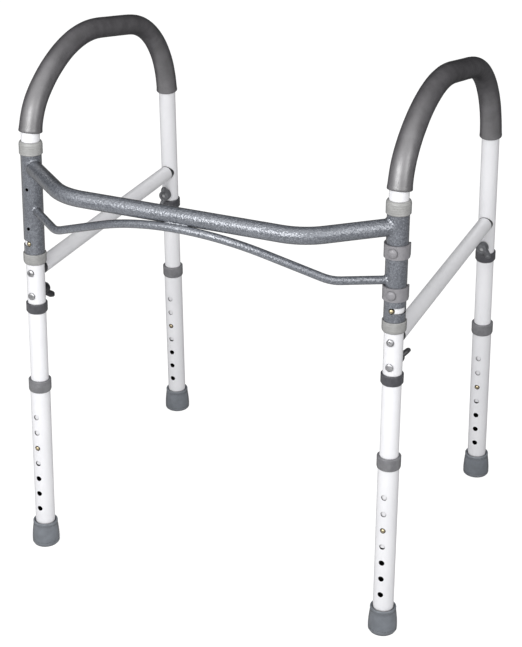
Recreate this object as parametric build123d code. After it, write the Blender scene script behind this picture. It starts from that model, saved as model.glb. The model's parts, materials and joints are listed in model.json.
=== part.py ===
from build123d import *
from math import asin, atan2, cos, degrees, hypot, radians, sin, tan
import os

# Toilet safety frame, in millimetres.
# X is across the frame (+X right), +Y points from the crossbar side towards the open side,
# +Z is up. "Rear" legs are the pair joined by the crossbar, "front" legs are the pair at the
# open side. The origin is on the floor, under the middle of the whole frame.

# ---- stance ----
FLOOR_WIDTH = 536.0  # between the foot centres, left to right
FLOOR_DEPTH = 445.0  # between the foot centres, rear to front
SPLAY = 1.91  # degrees each leg leans, feet apart, seen from the side
LEAN = 0.69  # degrees each side leans, feet apart, seen from the back

# ---- tubes ----
WALL = 1.2
RAIL_OD = 25.4
SLEEVE_OD = 28.6
INNER_LEG_OD = 25.4
OUTER_LEG_OD = 28.6
BRACE_OD = 22.2
CROSSBAR_OD = 22.2
CROSSBAR_WALL = 1.5
ARCH_ROD_OD = 11.0
RUNNING = 0.05  # radial gap where one piece turns or slides in another
TOUCH = 0.01  # radial gap between pieces that only touch
DOME_STEPS = 7  # straight steps in a domed profile, rim to tip

# ---- heights along each leg ----
TUBE_BOTTOM_Z = 6.0
FOOT_TOP_Z = 39.0
HOLE_TOP_Z = 216.0
HOLE_PITCH = 25.4
HOLE_COUNT = 7
HOLE_R = 4.0
BUTTON_HOLE_INDEX = 2  # which hole the leg button sits in, counted from the top
INNER_LEG_BOTTOM_Z = 137.5
LEG_COLLAR_Z = (256.0, 274.0)
LEG_COLLAR_LIP = 4.0
JOINT_COLLAR_Z = (380.0, 394.5)
RAIL_BOTTOM_Z = 388.0
SPIGOT_TOP_Z = 425.0
CLAMP_BOLT_Z = 407.0
BRACE_Z = 442.0
LOWER_BUSHING_Z = (454.0, 470.0)
HINGE_BUTTON_Z = 486.0
CLIP_Z = (508.3, 565.0)
CLIP_HEIGHT = 18.0
ROD_WELD_Z = (535.0, 524.0)  # left, right
CROSSBAR_Z = 595.5
UPPER_BUSHING_Z = (613.0, 631.0)
SLEEVE_SEAT = 12.0  # how far the sleeve goes into each bushing

# ---- handrail loop, headings in degrees above the +Y direction ----
LOOP_START_Z = 633.0
REAR_BEND_R = 78.0
REAR_BEND_END = 40.0
CROWN_R = 200.0
CROWN_END = -12.0
FRONT_BEND_R = 150.0
GRIP_OD = 32.4
GRIP_REAR_Z = 642.0
GRIP_FRONT_Z = 577.0
GRIP_ROUND = 3.0

# ---- crossbar and arched rod ----
CROSSBAR_BOW = 60.0  # how far the middle run stands behind the rear feet's line
CROSSBAR_CORNER_X = 166.5
CROSSBAR_BEND_R = 77.0
ROD_CORNER = (195.5, -35.0, 532.0)  # Y is measured from the rear feet's line
ROD_CORNER_R = (36.0, 52.0)  # left, right
ROD_ARCH_R = 275.0
ROD_CROWN_TURN = 48.0  # degrees below level, behind the crossbar, where the rod's crown touches it

# ---- fold of each side frame about its sleeve ----
FOLD_LEFT = 93.0
FOLD_RIGHT = 85.0

# ---- feet, collars, bushings ----
FOOT_TOP_R = 17.8
FOOT_WIDE_R = 20.2
FOOT_WIDE_Z = 9.0
TREAD_DEPTH = 2.0
LEG_COLLAR_R = 16.2
JOINT_COLLAR_R = 15.0
BUSHING_R = 16.0

# ---- snap buttons ----
BUTTON_R = 3.2
BUTTON_TIP = 16.3  # from the tube's axis
BUTTON_DOME = 2.2  # height of the domed tip
BUTTON_FLANGE_R = 5.0
BUTTON_FLANGE = (9.3, 10.3)
BUTTON_PORT_R = 4.3  # hole in the tube that carries the button
SPRING_WIDTH = 6.0
SPRING_THICK = 0.6
SPRING_LENGTH = 38.0

# ---- fasteners and knobs ----
BOLT_R = 3.0
BOLT_HEAD_R = 5.25
BOLT_HEAD = 2.4
BOLT_HOLE_R = 3.1
BOLT_REACH = 24.0  # bolt end, from the leg's axis, inside the knob
KNOB_BASE = 13.1  # knob's flat base, from the leg's axis
KNOB_HUB_R = 8.5
KNOB_HUB = 12.0
KNOB_WING = 17.0
KNOB_HEIGHT = 20.0
KNOB_THICK = 8.0
SCREW_R = 2.4
SCREW_HEAD_R = 5.0
SCREW_HEAD = 3.2
SCREW_HOLE_R = 2.5
SCREW_STANDOFF = 0.2  # the level screw's head clears the leaning leg
SCREW_REACH = 46.0
PLUG_DEPTH = 22.0
PLUG_FLANGE_R = BRACE_OD / 2
SADDLE = 2.0  # plug thickness between leg and brace end
RIVET_DOME_R = 6.25
RIVET_HEAD = 3.6  # height of its head above the clip
RIVET_R = 2.25
RIVET_HOLE_R = 2.4
RAIL_RELIEF_R = 3.6  # hole in the rail behind each of the sleeve's rivet holes
DRILL_REACH = 20.0  # from a tube's axis to outside its wall
CLIP_THICK = 2.4
CLIP_HALF_ANGLE = 112.0
CLIP_LIP_R = 3.0
CLIP_LIP_TURN = 50.0  # degrees that each lip flares outwards

# ---- worked out from the dimensions above ----
rod_offset = CROSSBAR_OD / 2 + ARCH_ROD_OD / 2 + TOUCH  # between the two centre lines at the crown
rod_crown_back = CROSSBAR_BOW + rod_offset * cos(radians(ROD_CROWN_TURN))
rod_crown_z = CROSSBAR_Z - rod_offset * sin(radians(ROD_CROWN_TURN))
frame_back = rod_crown_back + ARCH_ROD_OD / 2
foot_front = FLOOR_DEPTH + FOOT_WIDE_R
rear_y = (frame_back - foot_front) / 2
button_z = HOLE_TOP_Z - BUTTON_HOLE_INDEX * HOLE_PITCH
leg_slope = tan(radians(SPLAY))
rail_r = RAIL_OD / 2
sleeve_r = SLEEVE_OD / 2
SIDES = {"left": -1, "right": 1}
ENDS = {"rear": 1, "front": -1}


# ---- placing ----
def side_location(side):
    """From a side frame's own axes (rear foot at 0, leaning sides upright) to the whole frame."""
    return Location((side * FLOOR_WIDTH / 2, rear_y, 0), (0, -side * LEAN, 0))


def leg_in_side(end):
    """From a leg's own axes (leg along Z, floor at 0) to its side frame. end is 1 rear, -1 front."""
    foot_y = 0 if end == 1 else FLOOR_DEPTH
    return Location((0, foot_y, 0), (-end * SPLAY, 0, 0))


def leg_location(side, end):
    return side_location(side) * leg_in_side(end)


def outward(end, distance, z, turn=0.0):
    """A plane on a leg whose Z points to the frame's inside (rear +Y, front -Y)."""
    x_dir = (cos(radians(turn)), 0, sin(radians(turn)))
    return Plane(origin=(0, end * distance, z), x_dir=x_dir, z_dir=(0, end, 0))


# ---- shape helpers ----
def ring(outer_r, inner_r, z0, z1):
    shape = Pos(0, 0, z0) * Cylinder(outer_r, z1 - z0, align=(Align.CENTER, Align.CENTER, Align.MIN))
    bore = Pos(0, 0, z0 - 1) * Cylinder(inner_r, z1 - z0 + 2, align=(Align.CENTER, Align.CENTER, Align.MIN))
    return shape - bore


def turned(*points):
    """A solid turned about Z from (radius, height) points."""
    face = make_face(Polyline(*[(r, 0, z) for r, z in points], close=True))
    return revolve(face, Axis.Z)


def dome(radius, base, tip):
    """(radius, height) points of a round dome, from its rim to its tip, for turned()."""
    turns = [radians(90 * step / DOME_STEPS) for step in range(DOME_STEPS + 1)]
    return [(radius * cos(turn), base + (tip - base) * sin(turn)) for turn in turns]


def cross_bore(radius, z, y_from, y_to):
    """A drill along Y at height z."""
    return Plane(origin=(0, y_from, z), x_dir=(1, 0, 0), z_dir=(0, 1, 0)) * Cylinder(
        radius, y_to - y_from, align=(Align.CENTER, Align.CENTER, Align.MIN)
    )


def bent_path(points, radii):
    """Straight runs between points, with an arc of each radius at each inner point."""
    points = [Vector(*p) for p in points]
    edges = []
    start = points[0]
    for before, corner, after, radius in zip(points, points[1:], points[2:], radii):
        come = (corner - before).normalized()
        leave = (after - corner).normalized()
        half_turn = radians(come.get_angle(leave)) / 2
        setback = radius * tan(half_turn)
        arc_start = corner - come * setback
        arc_end = corner + leave * setback
        to_centre = (leave - come).normalized()
        middle = corner + to_centre * (radius / cos(half_turn) - radius)
        edges.append(Line(start, arc_start))
        edges.append(ThreePointArc(arc_start, middle, arc_end))
        start = arc_end
    edges.append(Line(start, points[-1]))
    return Wire([edge for curve in edges for edge in curve.edges()])


def tube_along(path, outer_r, inner_r=0.0):
    section = Plane(origin=path @ 0, z_dir=path % 0) * Circle(outer_r)
    if inner_r:
        section -= Plane(origin=path @ 0, z_dir=path % 0) * Circle(inner_r)
    return sweep(section, path=path, transition=Transition.RIGHT)


# ---- handrail ----
def rail_path(rear_z, front_z):
    """Centre line of the handrail in a side frame's YZ plane, from one leg height to the other."""
    tilt = 90 - SPLAY
    first_turn = tilt - REAR_BEND_END
    crown_turn = REAR_BEND_END - CROWN_END
    last_turn = CROWN_END + tilt
    s = {a: sin(radians(a)) for a in (tilt, REAR_BEND_END, CROWN_END)}
    c = {a: cos(radians(a)) for a in (tilt, REAR_BEND_END, CROWN_END)}
    across = REAR_BEND_R * (s[tilt] - s[REAR_BEND_END]) + CROWN_R * (s[REAR_BEND_END] - s[CROWN_END])
    across += FRONT_BEND_R * (s[CROWN_END] + s[tilt])
    up = REAR_BEND_R * (c[REAR_BEND_END] - c[tilt]) + CROWN_R * (c[CROWN_END] - c[REAR_BEND_END])
    up += FRONT_BEND_R * (c[tilt] - c[CROWN_END])
    gap = FLOOR_DEPTH - leg_slope * (2 * LOOP_START_Z + up) - across
    straight = gap / (c[CROWN_END] + leg_slope * s[CROWN_END])
    rear_line = Line((leg_slope * rear_z, rear_z), (leg_slope * LOOP_START_Z, LOOP_START_Z))
    rear_bend = JernArc(rear_line @ 1, rear_line % 1, REAR_BEND_R, -first_turn)
    crown = JernArc(rear_bend @ 1, rear_bend % 1, CROWN_R, -crown_turn)
    fall = PolarLine(crown @ 1, straight, CROWN_END)
    front_bend = JernArc(fall @ 1, fall % 1, FRONT_BEND_R, -last_turn)
    front_line = Line(front_bend @ 1, (FLOOR_DEPTH - leg_slope * front_z, front_z))
    curves = (rear_line, rear_bend, crown, fall, front_bend, front_line)
    return Plane.YZ * Wire([edge for curve in curves for edge in curve.edges()])


def handrail_tube(side):
    rail = tube_along(rail_path(RAIL_BOTTOM_Z, RAIL_BOTTOM_Z), rail_r, rail_r - WALL)
    for end in ENDS.values():
        rail -= leg_in_side(end) * cross_bore(BOLT_HOLE_R, CLAMP_BOLT_Z, -DRILL_REACH, DRILL_REACH)
        leg_y = brace_leg_y(end)
        rail -= cross_bore(SCREW_HOLE_R, BRACE_Z, leg_y - DRILL_REACH, leg_y + DRILL_REACH)
    rail -= leg_in_side(1) * cross_bore(BUTTON_PORT_R, HINGE_BUTTON_Z, -DRILL_REACH, 0)
    for z in CLIP_Z:
        rail -= leg_in_side(1) * cross_bore(RAIL_RELIEF_R, z, -DRILL_REACH, 0)
    return side_location(side) * rail


def foam_grip(side):
    full = rail_path(RAIL_BOTTOM_Z, RAIL_BOTTOM_Z)
    start = (GRIP_REAR_Z - RAIL_BOTTOM_Z) / full.length
    finish = 1 - (GRIP_FRONT_Z - RAIL_BOTTOM_Z) / full.length
    path = full.trim(start, finish)
    foam = tube_along(path, GRIP_OD / 2)
    ends = [face for face in foam.faces() if face.geom_type == GeomType.PLANE]
    rims = [edge for face in ends for edge in face.edges()]
    foam = fillet(rims, GRIP_ROUND)
    foam -= tube_along(full, rail_r + TOUCH)
    return side_location(side) * foam


# ---- side brace ----
def brace_leg_y(end):
    """Where a leg's axis is, in the side frame, at the brace's height."""
    return leg_slope * BRACE_Z if end == 1 else FLOOR_DEPTH - leg_slope * BRACE_Z


def side_brace(side):
    y0 = brace_leg_y(1) + rail_r + SADDLE
    y1 = brace_leg_y(-1) - rail_r - SADDLE
    tube = cross_bore(BRACE_OD / 2, BRACE_Z, y0, y1) - cross_bore(BRACE_OD / 2 - WALL, BRACE_Z, y0 - 1, y1 + 1)
    return side_location(side) * tube


def brace_plug(end):
    """Plastic plug in a brace end, with a saddle that sits against the leg. Its Z runs into the brace."""
    start = rail_r + SADDLE
    body = turned(
        (0, rail_r / 2),
        (PLUG_FLANGE_R, rail_r / 2),
        (PLUG_FLANGE_R, start),
        (BRACE_OD / 2 - WALL - TOUCH, start),
        (BRACE_OD / 2 - WALL - TOUCH, start + PLUG_DEPTH - 2),
        (BRACE_OD / 2 - WALL - 1.5, start + PLUG_DEPTH),
        (0, start + PLUG_DEPTH),
    )
    body -= Cylinder(SCREW_R + TOUCH, 200)
    placed = Plane(origin=(0, brace_leg_y(end), BRACE_Z), x_dir=(1, 0, 0), z_dir=(0, end, 0)) * body
    leg = leg_in_side(end) * Pos(0, 0, BRACE_Z) * Cylinder(rail_r + TOUCH, 80)
    return placed - leg


def brace_screw(end):
    """Cross-head pan screw. It goes through the leg and into the plug."""
    under_head = -(rail_r + SCREW_STANDOFF)
    rim = under_head - SCREW_HEAD * 0.35
    head = turned((0, under_head), (SCREW_HEAD_R, under_head), *dome(SCREW_HEAD_R, rim, under_head - SCREW_HEAD))
    shank = Pos(0, 0, under_head) * Cylinder(
        SCREW_R, SCREW_REACH - under_head - 20, align=(Align.CENTER, Align.CENTER, Align.MIN)
    )
    screw = head + shank
    for turn in (0, 90):
        recess = Box(SCREW_HEAD_R * 1.15, 1.1, 3.6)
        screw -= Pos(0, 0, under_head - SCREW_HEAD) * Rot(0, 0, turn) * recess
    return Plane(origin=(0, brace_leg_y(end), BRACE_Z), x_dir=(1, 0, 0), z_dir=(0, end, 0)) * screw


# ---- legs ----
def inner_leg():
    """Upper leg tube, with a narrowed spigot that goes up inside the handrail tube."""
    r = INNER_LEG_OD / 2
    spigot = rail_r - WALL - 0.1
    wide_top = RAIL_BOTTOM_Z - 4
    leg = turned(
        (r - WALL, INNER_LEG_BOTTOM_Z),
        (r, INNER_LEG_BOTTOM_Z),
        (r, wide_top),
        (spigot, RAIL_BOTTOM_Z),
        (spigot, SPIGOT_TOP_Z),
        (spigot - WALL, SPIGOT_TOP_Z),
        (spigot - WALL, RAIL_BOTTOM_Z),
        (r - WALL, wide_top),
    )
    leg -= cross_bore(BUTTON_PORT_R, button_z, -DRILL_REACH, 0)
    leg -= cross_bore(BOLT_HOLE_R, CLAMP_BOLT_Z, -DRILL_REACH, DRILL_REACH)
    return leg


def outer_leg():
    """Lower leg tube with its row of height holes, facing the rear."""
    r = OUTER_LEG_OD / 2
    leg = ring(r, r - WALL, TUBE_BOTTOM_Z, LEG_COLLAR_Z[1] - LEG_COLLAR_LIP)
    for index in range(HOLE_COUNT):
        leg -= cross_bore(HOLE_R, HOLE_TOP_Z - index * HOLE_PITCH, -DRILL_REACH, 0)
    return leg


def leg_collar():
    """Plastic collar on the lower tube's mouth. The upper tube slides through its lip."""
    z0, z1 = LEG_COLLAR_Z
    lip = z1 - LEG_COLLAR_LIP
    outer_r = OUTER_LEG_OD / 2 + TOUCH
    return turned(
        (outer_r, z0),
        (LEG_COLLAR_R - 1.6, z0),
        (LEG_COLLAR_R - 0.5, z0 + 1.0),
        (LEG_COLLAR_R, z0 + 3.0),
        (LEG_COLLAR_R, z1 - 0.8),
        (LEG_COLLAR_R - 0.8, z1),
        (INNER_LEG_OD / 2 + RUNNING, z1),
        (INNER_LEG_OD / 2 + RUNNING, lip),
        (outer_r, lip),
    )


def foot():
    """Moulded tip, before its sole is trimmed to the floor."""
    bore = OUTER_LEG_OD / 2 + TOUCH
    tip = turned(
        (0, -TREAD_DEPTH),
        (FOOT_WIDE_R - 1.6, -TREAD_DEPTH),
        (FOOT_WIDE_R - 1.6, 0.8),
        (FOOT_WIDE_R - 0.4, 2.6),
        (FOOT_WIDE_R, FOOT_WIDE_Z),
        (FOOT_TOP_R + 0.2, FOOT_TOP_Z - 5),
        (FOOT_TOP_R, FOOT_TOP_Z - 1),
        (FOOT_TOP_R - 1, FOOT_TOP_Z),
        (bore, FOOT_TOP_Z),
        (bore, TUBE_BOTTOM_Z),
        (0, TUBE_BOTTOM_Z),
    )
    for radius in (7.0, 12.0):
        tip -= ring(radius + 1.2, radius - 1.2, -2 * TREAD_DEPTH, TREAD_DEPTH)
    return tip


def placed_foot(side, end):
    above_floor = Box(2000, 2000, 200, align=(Align.CENTER, Align.CENTER, Align.MIN))
    return (leg_location(side, end) * foot()) & above_floor


def joint_collar():
    """Dark ring over the joint between the handrail tube and the upper leg."""
    z0, z1 = JOINT_COLLAR_Z
    bore = rail_r + TOUCH
    return turned(
        (bore, z0),
        (JOINT_COLLAR_R - 1.6, z0),
        (JOINT_COLLAR_R, z0 + 2.4),
        (JOINT_COLLAR_R, z1 - 0.6),
        (JOINT_COLLAR_R - 0.6, z1),
        (bore, z1),
    )


def clamp_bolt(end):
    """Low-headed bolt through the handrail tube and the leg's spigot, in the leg's axes."""
    under_head = -(rail_r + 0.05)
    rim = under_head - BOLT_HEAD * 0.4
    head = turned((0, under_head), (BOLT_HEAD_R, under_head), *dome(BOLT_HEAD_R, rim, under_head - BOLT_HEAD))
    shank = Pos(0, 0, under_head) * Cylinder(
        BOLT_R, BOLT_REACH - under_head, align=(Align.CENTER, Align.CENTER, Align.MIN)
    )
    return outward(end, 0, CLAMP_BOLT_Z) * (head + shank)


def wing_knob(end, turn):
    """Two-winged clamp knob, in the leg's axes. Its own Z is the bolt's axis."""
    hub = Cylinder(KNOB_HUB_R, KNOB_HUB, align=(Align.CENTER, Align.CENTER, Align.MIN))
    outline = Polyline(
        (0, 3),
        (KNOB_HUB_R - 1, 3),
        (KNOB_WING - 1, 8.5),
        (KNOB_WING, 11),
        (KNOB_WING - 0.5, KNOB_HEIGHT - 1),
        (KNOB_WING - 2.5, KNOB_HEIGHT),
        (KNOB_WING - 6.5, KNOB_HEIGHT - 1),
        (KNOB_HUB_R - 2, KNOB_HUB + 0.8),
        (0, KNOB_HUB + 0.8),
        close=True,
    )
    half = extrude(Plane.XZ * make_face(outline), amount=KNOB_THICK / 2, both=True)
    long_edges = half.edges().filter_by(Axis.Y, reverse=True).filter_by_position(Axis.X, KNOB_HUB_R, 2 * KNOB_WING)
    half = fillet(long_edges, 1.6)
    knob = hub + half + mirror(half, Plane.YZ)
    bore_depth = BOLT_REACH - KNOB_BASE + 0.5
    knob -= Cylinder(BOLT_R + RUNNING, 2 * bore_depth)
    return outward(end, KNOB_BASE, CLAMP_BOLT_Z, turn) * knob


# ---- snap buttons ----
def snap_button(z):
    """Domed button with the flange that keeps it in the tube. It stands out towards the rear."""
    inner, outer = BUTTON_FLANGE
    button = turned(
        (0, inner),
        (BUTTON_FLANGE_R, inner),
        (BUTTON_FLANGE_R, outer),
        (BUTTON_R, outer),
        *dome(BUTTON_R, BUTTON_TIP - BUTTON_DOME, BUTTON_TIP),
    )
    return Plane(origin=(0, 0, z), x_dir=(1, 0, 0), z_dir=(0, -1, 0)) * button


def button_spring(z):
    """Bent leaf spring inside the tube: one arm under the button, the other against the far wall."""
    arm_y = -(BUTTON_FLANGE[0] - 0.05 - SPRING_THICK / 2)
    back_y = rail_r - WALL - SPRING_THICK
    path = bent_path(
        [(0, arm_y, z - 7), (0, arm_y, z + 8), (0, 0, z + SPRING_LENGTH), (0, back_y, z - 6)],
        [12, 3],
    )
    section = Plane(origin=path @ 0, x_dir=(1, 0, 0), z_dir=path % 0) * Rectangle(SPRING_WIDTH, SPRING_THICK)
    return sweep(section, path=path)


# ---- hinge sleeves ----
def fold_slot(side, fold):
    """Cutter for the slot that the hinge button runs in, from the rear round to the outside."""
    stop = degrees((HOLE_R - BUTTON_R - RUNNING) / sleeve_r)
    drill = cross_bore(HOLE_R, HINGE_BUTTON_Z, -DRILL_REACH, 0)
    cutter = Rot(0, 0, side * stop) * drill + Rot(0, 0, side * (fold - stop)) * drill
    band = Plane.XZ * Pos(sleeve_r, HINGE_BUTTON_Z) * Rectangle(6, 2 * HOLE_R)
    sector = revolve(band, Axis.Z, fold - 2 * stop)
    start = -90 + stop if side == 1 else -90 - fold + stop
    return cutter + Rot(0, 0, start) * sector


def hinge_sleeve(name, side):
    fold = FOLD_LEFT if name == "left" else FOLD_RIGHT
    z0 = LOWER_BUSHING_Z[1] - SLEEVE_SEAT
    z1 = UPPER_BUSHING_Z[0] + SLEEVE_SEAT
    sleeve = ring(sleeve_r, sleeve_r - WALL, z0, z1) - fold_slot(side, fold)
    for z in CLIP_Z:
        sleeve -= cross_bore(RIVET_HOLE_R, z, -DRILL_REACH, 0)
    return leg_location(side, 1) * sleeve


def bushing(closed_z, open_z):
    """Hinge bushing: a cap over the sleeve's end, with a thin liner that the handrail turns in."""
    way = 1 if open_z > closed_z else -1
    seat = open_z - way * SLEEVE_SEAT
    liner = seat + way * 9
    bore = rail_r + RUNNING
    return turned(
        (bore, closed_z),
        (BUSHING_R - 3.0, closed_z),
        (BUSHING_R - 1.2, closed_z + way * 0.9),
        (BUSHING_R - 0.3, closed_z + way * 2.6),
        (BUSHING_R, closed_z + way * 4.5),
        (BUSHING_R, open_z - way * 0.7),
        (BUSHING_R - 0.7, open_z),
        (sleeve_r + TOUCH, open_z),
        (sleeve_r + TOUCH, seat),
        (sleeve_r - WALL - TOUCH, seat),
        (sleeve_r - WALL - TOUCH, liner),
        (bore, liner),
    )


# ---- clips on the right sleeve ----
def sleeve_clip(z):
    """Open spring clip hugging the sleeve, riveted at the rear, with flared lips."""
    mid_r = sleeve_r + TOUCH + CLIP_THICK / 2
    hug = CenterArc((0, 0), mid_r, -90 - CLIP_HALF_ANGLE, 2 * CLIP_HALF_ANGLE)
    lip = JernArc(hug @ 1, hug % 1, CLIP_LIP_R, -CLIP_LIP_TURN)
    other_lip = mirror(lip, Plane.YZ)
    band = trace(Curve() + [hug, lip, other_lip], line_width=CLIP_THICK)
    clip = extrude(band, amount=CLIP_HEIGHT)
    clip = Pos(0, 0, z - CLIP_HEIGHT / 2) * clip
    rounder = turned(
        (sleeve_r + 1.4, z - CLIP_HEIGHT / 2 - 1),
        (60, z - CLIP_HEIGHT / 2 - 1),
        (60, z - CLIP_HEIGHT / 2 + 44),
    )
    return clip - rounder - cross_bore(RIVET_HOLE_R, z, -2 * sleeve_r, 0)


def clip_rivet(z):
    """Domed push rivet through clip and sleeve. Its head's underside follows the clip."""
    clip_r = sleeve_r + TOUCH + CLIP_THICK
    base = clip_r - 1.6
    rivet = turned(
        (0, sleeve_r - WALL + 0.1),
        (RIVET_R, sleeve_r - WALL + 0.1),
        (RIVET_R, base),
        (RIVET_DOME_R, base),
        *dome(RIVET_DOME_R, clip_r + 0.6, clip_r + RIVET_HEAD),
    )
    rivet = Plane(origin=(0, 0, z), x_dir=(1, 0, 0), z_dir=(0, -1, 0)) * rivet
    hug = Pos(0, 0, z) * Cylinder(clip_r + TOUCH, 20) - cross_bore(RIVET_R, z, -2 * sleeve_r, 0)
    return rivet - hug


# ---- crossbar and rod ----
def sleeve_axis_point(side, z):
    return leg_location(side, 1) * Pos(0, 0, z)


def on_sleeves(left_z, right_z):
    """The points on the left and right sleeve axes at these heights."""
    return sleeve_axis_point(-1, left_z).position, sleeve_axis_point(1, right_z).position


def cope(shape):
    """Cut a welded tube's ends to the sleeves."""
    for side in SIDES.values():
        shape -= leg_location(side, 1) * Pos(0, 0, 550) * Cylinder(sleeve_r + TOUCH, 400)
    return shape


def crossbar_tube():
    left, right = on_sleeves(CROSSBAR_Z, CROSSBAR_Z)
    middle_y = rear_y - CROSSBAR_BOW
    points = [
        left,
        (-CROSSBAR_CORNER_X, middle_y, CROSSBAR_Z),
        (CROSSBAR_CORNER_X, middle_y, CROSSBAR_Z),
        right,
    ]
    path = bent_path(points, [CROSSBAR_BEND_R, CROSSBAR_BEND_R])
    return cope(tube_along(path, CROSSBAR_OD / 2, CROSSBAR_OD / 2 - CROSSBAR_WALL))


def arch_rod():
    """Arched stiffening rod. Its crown touches the crossbar from behind and below."""
    left, right = on_sleeves(*ROD_WELD_Z)
    left_bend, right_bend = ROD_CORNER_R
    corner_x, corner_y, corner_z = ROD_CORNER
    back = -rod_crown_back - corner_y
    up = rod_crown_z - corner_z
    rise = hypot(back, up)
    centre_depth = ROD_ARCH_R - rise
    slope = asin(ROD_ARCH_R / hypot(corner_x, centre_depth)) - atan2(centre_depth, corner_x)
    # the two slopes would meet this many times the rise above the corners
    apex = corner_x * tan(slope) / rise
    points = [
        left,
        (-corner_x, rear_y + corner_y, corner_z),
        (0, rear_y + corner_y + back * apex, corner_z + up * apex),
        (corner_x, rear_y + corner_y, corner_z),
        right,
    ]
    path = bent_path(points, [left_bend, ROD_ARCH_R, right_bend])
    return cope(tube_along(path, ARCH_ROD_OD / 2))


# ---- the whole frame ----
KNOB_TURNS = {
    ("left", "rear"): -53.0,
    ("left", "front"): 82.0,
    ("right", "rear"): 40.0,
    ("right", "front"): 148.0,
}


def build():
    """Every node's shape, by name."""
    nodes = {"crossbar_tube": crossbar_tube(), "arch_rod": arch_rod()}
    right_sleeve = leg_location(1, 1)
    nodes["lower_sleeve_clip"] = right_sleeve * sleeve_clip(CLIP_Z[0])
    nodes["upper_sleeve_clip"] = right_sleeve * sleeve_clip(CLIP_Z[1])
    nodes["clip_rivets"] = Compound([right_sleeve * clip_rivet(z) for z in CLIP_Z])
    for name, side in SIDES.items():
        sleeve_place = leg_location(side, 1)
        nodes[name + "_hinge_sleeve"] = hinge_sleeve(name, side)
        nodes[name + "_upper_bushing"] = sleeve_place * bushing(UPPER_BUSHING_Z[1], UPPER_BUSHING_Z[0])
        nodes[name + "_lower_bushing"] = sleeve_place * bushing(*LOWER_BUSHING_Z)
        nodes[name + "_hinge_button"] = sleeve_place * snap_button(HINGE_BUTTON_Z)
        nodes[name + "_hinge_spring"] = sleeve_place * button_spring(HINGE_BUTTON_Z)
        nodes[name + "_handrail_tube"] = handrail_tube(side)
        nodes[name + "_foam_grip"] = foam_grip(side)
        nodes[name + "_side_brace"] = side_brace(side)
        both = list(ENDS.values())
        nodes[name + "_brace_plugs"] = Compound([side_location(side) * brace_plug(end) for end in both])
        nodes[name + "_brace_screws"] = Compound([side_location(side) * brace_screw(end) for end in both])
        nodes[name + "_clamp_bolts"] = Compound([leg_location(side, end) * clamp_bolt(end) for end in both])
        for end_name, end in ENDS.items():
            leg = name + "_" + end_name
            place = leg_location(side, end)
            nodes[leg + "_joint_collar"] = place * joint_collar()
            nodes[leg + "_inner_leg"] = place * inner_leg()
            nodes[leg + "_outer_leg"] = place * outer_leg()
            nodes[leg + "_leg_collar"] = place * leg_collar()
            nodes[leg + "_foot"] = placed_foot(side, end)
            nodes[leg + "_leg_button"] = place * snap_button(button_z)
            nodes[leg + "_leg_spring"] = place * button_spring(button_z)
            nodes[leg + "_wing_knob"] = place * wing_knob(end, KNOB_TURNS[name, end_name])
    return nodes


os.makedirs("parts", exist_ok=True)
for node_name, shape in build().items():
    export_step(shape, "parts/" + node_name + ".step")
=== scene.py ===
import json
import math

import bmesh
import bpy
from mathutils import Matrix, Vector, noise
from mathutils.bvhtree import BVHTree


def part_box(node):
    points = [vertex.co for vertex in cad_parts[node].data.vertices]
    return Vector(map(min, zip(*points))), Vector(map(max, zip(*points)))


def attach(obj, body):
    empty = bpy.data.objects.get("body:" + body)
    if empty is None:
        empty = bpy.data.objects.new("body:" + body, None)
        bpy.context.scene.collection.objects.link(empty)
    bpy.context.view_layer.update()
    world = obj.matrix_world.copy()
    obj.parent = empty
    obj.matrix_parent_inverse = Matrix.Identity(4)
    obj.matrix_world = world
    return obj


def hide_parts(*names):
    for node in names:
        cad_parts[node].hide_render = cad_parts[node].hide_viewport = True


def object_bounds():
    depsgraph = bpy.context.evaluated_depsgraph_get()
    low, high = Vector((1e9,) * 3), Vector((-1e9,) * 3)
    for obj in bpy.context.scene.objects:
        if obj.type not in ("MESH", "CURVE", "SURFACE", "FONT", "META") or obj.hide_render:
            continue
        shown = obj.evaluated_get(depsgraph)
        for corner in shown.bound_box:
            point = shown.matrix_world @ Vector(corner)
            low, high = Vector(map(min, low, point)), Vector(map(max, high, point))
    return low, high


# Looks for the toilet safety frame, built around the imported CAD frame. Lengths are in metres and
# angles in degrees, unless a comment says otherwise.

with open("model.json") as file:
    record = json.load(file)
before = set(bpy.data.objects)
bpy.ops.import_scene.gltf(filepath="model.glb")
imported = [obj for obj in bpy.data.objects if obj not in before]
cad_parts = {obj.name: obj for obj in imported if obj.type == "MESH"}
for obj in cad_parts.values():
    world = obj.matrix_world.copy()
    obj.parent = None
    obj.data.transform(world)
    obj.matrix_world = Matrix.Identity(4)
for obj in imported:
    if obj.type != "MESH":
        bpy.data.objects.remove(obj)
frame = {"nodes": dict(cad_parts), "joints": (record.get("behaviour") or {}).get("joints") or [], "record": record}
cad_low, cad_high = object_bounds()
nodes = frame["nodes"]
record = frame["record"]
joints = {joint["name"]: joint for joint in frame["joints"]}
mounts = {mount["name"]: mount for mount in record["mounts"]}

MM = 0.001
SIDES = ("left", "right")
LEGS = [side + "_" + end for side in SIDES for end in ("rear", "front")]
RIGHT = Vector((1, 0, 0))
FORWARD = Vector((0, 1, 0))  # from the crossbar side to the open side
UP = Vector((0, 0, 1))
ARC_STEP = 15  # along the arcs of an outline

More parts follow.
